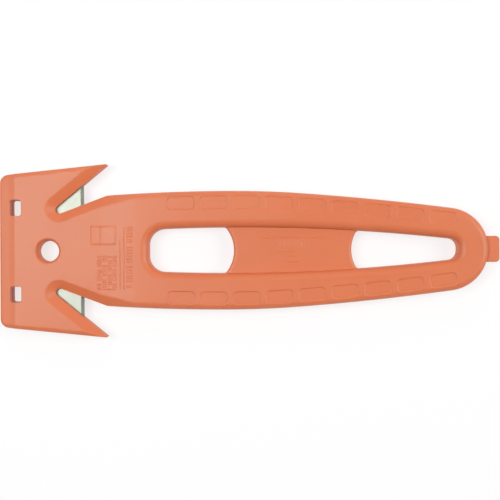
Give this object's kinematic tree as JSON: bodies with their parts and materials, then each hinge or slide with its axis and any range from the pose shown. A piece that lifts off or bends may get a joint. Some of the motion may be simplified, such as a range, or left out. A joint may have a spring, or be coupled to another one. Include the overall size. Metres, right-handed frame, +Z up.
{
  "type": "safety cutter",
  "caption": "Flat moulded safety cutter with a hooked throat and shielded steel blade on each side of its head, a hang hole, a ring handle with finger windows and a tape-splitter tab.",
  "frame": {"origin": "middle of the bounding box, on the flat surface that the cutter lies on", "axes": "+X runs from the hooked head to the tape-splitter tab, +Y across towards the upper hook, +Z up out of the front face"},
  "size_m": [0.152, 0.0526, 0.0072],
  "materials": {
    "shell": "fine satin moulded texture, salmon orange",
    "blade": "polished flats with a ground bevel along the edge"
  },
  "bodies": {
    "root": {"front_shell": "shell", "rear_shell": "shell", "upper_blade": "blade", "lower_blade": "blade"}
  },
  "joints": []
}
